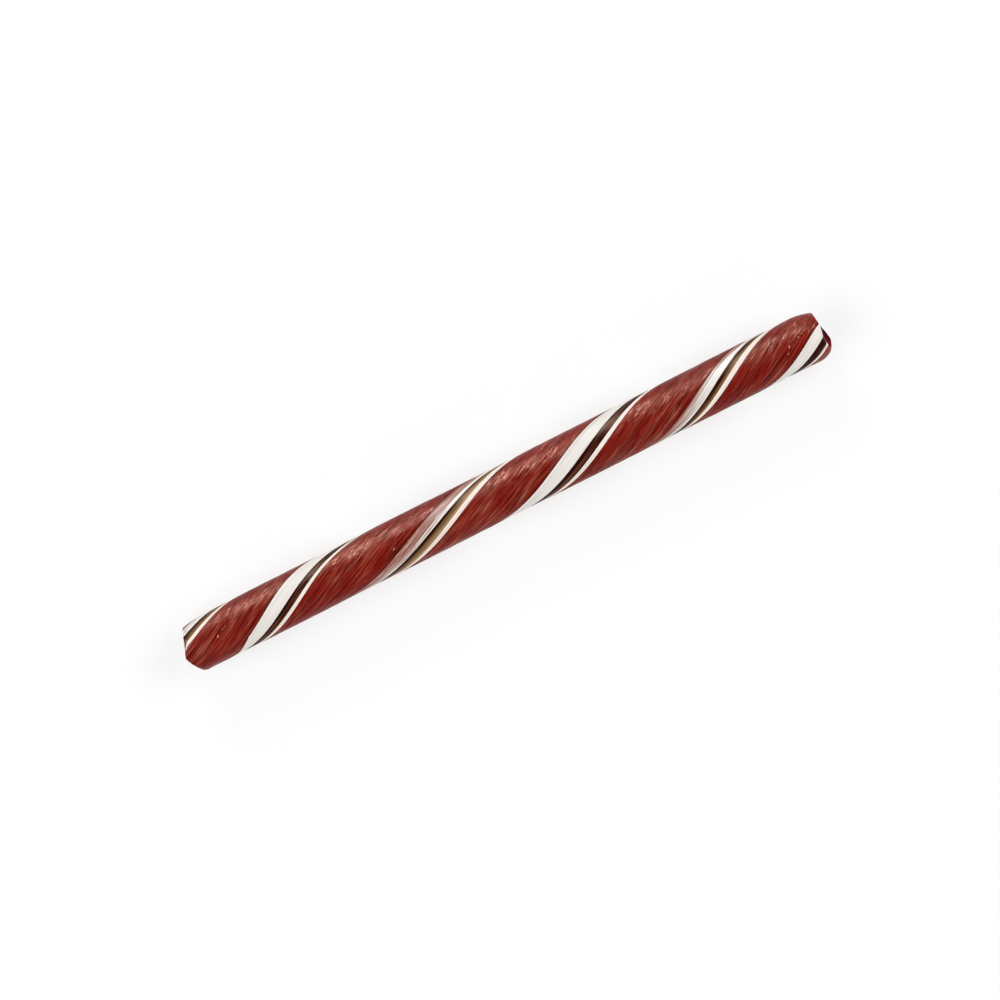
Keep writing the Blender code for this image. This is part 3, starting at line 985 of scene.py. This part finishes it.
def opal_acrylic():
    """The matt opal sheet of a light table: lit from behind, so that shadows on it stay
    faint, and a little uneven, as the lamps under it are."""
    material, tree = new_material("opal_acrylic")
    place_on_sheet = add_node(tree, "ShaderNodeTexCoord", output="Object")
    unevenness = {"Vector": place_on_sheet, "Scale": 6.0, "Detail": 1.0}
    unevenness = add_node(tree, NOISE, unevenness)
    base = layered(tree, linear("8F8F8F"), ((unevenness, 0.3, 0.7, 0.1, linear("A8A8A8")),))
    look = {"Base Color": base, "IOR": 1.5, "Roughness": 0.9, "Specular IOR Level": 0.1}
    look |= {"Emission Color": linear("FFFFFF"), "Emission Strength": TABLE_GLOW}
    add_node(tree, OUTPUT, {"Surface": add_node(tree, PRINCIPLED, look)})
    return material


class CANDY_OT_body(bpy.types.Operator):
    """Build the twisted red body with its two ends"""

    bl_idname = "candy.body"
    bl_label = "Red Body"

    def execute(self, context):
        mesh = build_body_mesh(context.scene.candy_sizes)
        colours = context.scene.candy_colours
        materials = (pulled_red_sugar(colours), snapped_red_sugar(colours))
        add_piece(context, mesh, materials, "candy_body")
        return {"FINISHED"}


class CANDY_OT_strips(bpy.types.Operator):
    """Build the white and brown strips of both bands"""

    bl_idname = "candy.strips"
    bl_label = "Strips"

    def execute(self, context):
        sizes = context.scene.candy_sizes
        colours = context.scene.candy_colours
        cream = white_sugar("cream_sugar", colours, colours.cream, 0.0)
        white = white_sugar("white_sugar", colours, colours.white, 0.7)
        finishes = {
            "wide_white_a": (white, "white_sugar"),
            "wide_white_b": (pearl_sugar(colours), "pearl_sugar"),
            "brown_a": (brown_sugar("dark_brown_sugar", colours, -0.2, -0.2), "dark_brown_sugar"),
            "brown_b": (brown_sugar("olive_brown_sugar", colours, 0.74, 0.45), "olive_brown_sugar"),
            "narrow_white_a": (cream, "cream_sugar"),
            "narrow_white_b": (cream, "cream_sugar"),
        }
        for node, (material, slot) in finishes.items():
            strip, band = node.rsplit("_", 1)
            add_piece(context, build_strip_mesh(band, strip, sizes), (material,), node)
        return {"FINISHED"}


class CANDY_OT_bubbles(bpy.types.Operator):
    """Build the air bubbles that stand in the red skin"""

    bl_idname = "candy.bubbles"
    bl_label = "Bubbles"

    def execute(self, context):
        mesh = build_bubble_mesh(context.scene.candy_sizes)
        add_piece(context, mesh, (blister_sugar(context.scene.candy_colours),))
        return {"FINISHED"}


class CANDY_OT_stage(bpy.types.Operator):
    """Set up the floor, the soft lights and the camera"""

    bl_idname = "candy.stage"
    bl_label = "Stage"

    def execute(self, context):
        build_floor(context)
        build_lights(context)
        build_camera(context)
        return {"FINISHED"}


def build_floor(context):
    """The flat top of a light table under the stick."""
    low, high = -FLOOR_REACH, FLOOR_REACH
    corners = [(low, low, 0.0), (high, low, 0.0), (high, high, 0.0), (low, high, 0.0)]
    mesh = bpy.data.meshes.new("floor")
    mesh.from_pydata(corners, [], [(0, 1, 2, 3)])
    mesh.materials.append(opal_acrylic())
    floor = bpy.data.objects.new("floor", mesh)
    floor.location.z = -FLOOR_GAP
    context.collection.objects.link(floor)


def build_lights(context):
    """Softboxes round the stick, turned to it, and a sky that is dark overhead and brightens
    towards the horizon. A box's power is its radiance times pi times its area."""
    scene = context.scene
    for name, where, wide, high, radiance, fills in LIGHTS:
        lamp = bpy.data.lights.new(name, "AREA")
        lamp.shape = "RECTANGLE"
        lamp.size, lamp.size_y = wide, high
        lamp.energy = radiance * math.pi * wide * high
        box = bpy.data.objects.new(name, lamp)
        box.location = where
        box.rotation_euler = (-Vector(where)).to_track_quat("-Z", "Y").to_euler()
        box.visible_diffuse = fills
        context.collection.objects.link(box)
    world = bpy.data.worlds.new("studio")
    scene.world = world
    world.use_nodes = True
    tree = world.node_tree
    tree.nodes.clear()
    space = add_node(tree, "ShaderNodeTexCoord", output="Generated")
    height = add_node(tree, SPLIT, {"Vector": space}, "Z")
    sky_range = {"Value": height, "From Max": 0.85, "To Min": 0.36, "To Max": 0.05}
    glow = add_node(tree, RANGE, sky_range)
    sky = add_node(tree, "ShaderNodeBackground", {"Strength": glow, "Color": (1.0, 1.0, 1.0, 1.0)})
    add_node(tree, "ShaderNodeOutputWorld", {"Surface": sky})
    scene.view_settings.view_transform = "Standard"
    scene.view_settings.look = "None"


def build_camera(context):
    """A long lens straight above, rolled so that the stick rises to the right, and moved so
    that its middle is as far from the picture's as in the photograph."""
    lens = bpy.data.cameras.new("camera")
    lens.type = "PERSP"
    lens.sensor_width = SENSOR
    lens.lens = SENSOR * (CAMERA_HEIGHT - AXIS_HEIGHT) / FIELD
    lens.clip_end = 10.0
    camera = bpy.data.objects.new("camera", lens)
    context.collection.objects.link(camera)
    roll = Matrix.Rotation(-math.radians(STICK_RISE_DEG), 4, "Z")
    right, down = STICK_CENTRE_PX
    off_centre = Vector((0.5 * FRAME_PX - right, down - 0.5 * FRAME_PX, 0.0)) * FIELD / FRAME_PX
    middle = Vector((LEFT_TIP + 0.5 * LENGTH, 0.0, CAMERA_HEIGHT))
    camera.matrix_world = Matrix.Translation(middle + roll @ off_centre) @ roll
    context.scene.camera = camera


class CANDY_PT_panel(bpy.types.Panel):
    """The stick's sizes and colours, and a button for each of its pieces"""

    bl_idname = "CANDY_PT_panel"
    bl_label = "Candy Stick"
    bl_space_type = "VIEW_3D"
    bl_region_type = "UI"
    bl_category = "Candy"

    def draw(self, context):
        layout = self.layout
        for group in (context.scene.candy_sizes, context.scene.candy_colours):
            column = layout.column()
            for key in group.bl_rna.properties.keys():
                if key not in {"rna_type", "name"}:
                    column.prop(group, key)
        for operator in OPERATORS:
            layout.operator(operator.bl_idname)


OPERATORS = (CANDY_OT_body, CANDY_OT_strips, CANDY_OT_bubbles, CANDY_OT_stage)
CLASSES = (CandySizes, CandyColours, *OPERATORS, CANDY_PT_panel)


def register():
    for item in CLASSES:
        bpy.utils.register_class(item)
    bpy.types.Scene.candy_sizes = bpy.props.PointerProperty(type=CandySizes)
    bpy.types.Scene.candy_colours = bpy.props.PointerProperty(type=CandyColours)


def unregister():
    del bpy.types.Scene.candy_colours
    del bpy.types.Scene.candy_sizes
    for item in reversed(CLASSES):
        bpy.utils.unregister_class(item)


def write_sizes():
    """Brings the view layer up to date."""
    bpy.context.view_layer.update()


def main():
    register()
    bpy.ops.candy.body()
    bpy.ops.candy.strips()
    bpy.ops.candy.bubbles()
    bpy.ops.candy.stage()
    write_sizes()


if __name__ == "__main__":
    main()
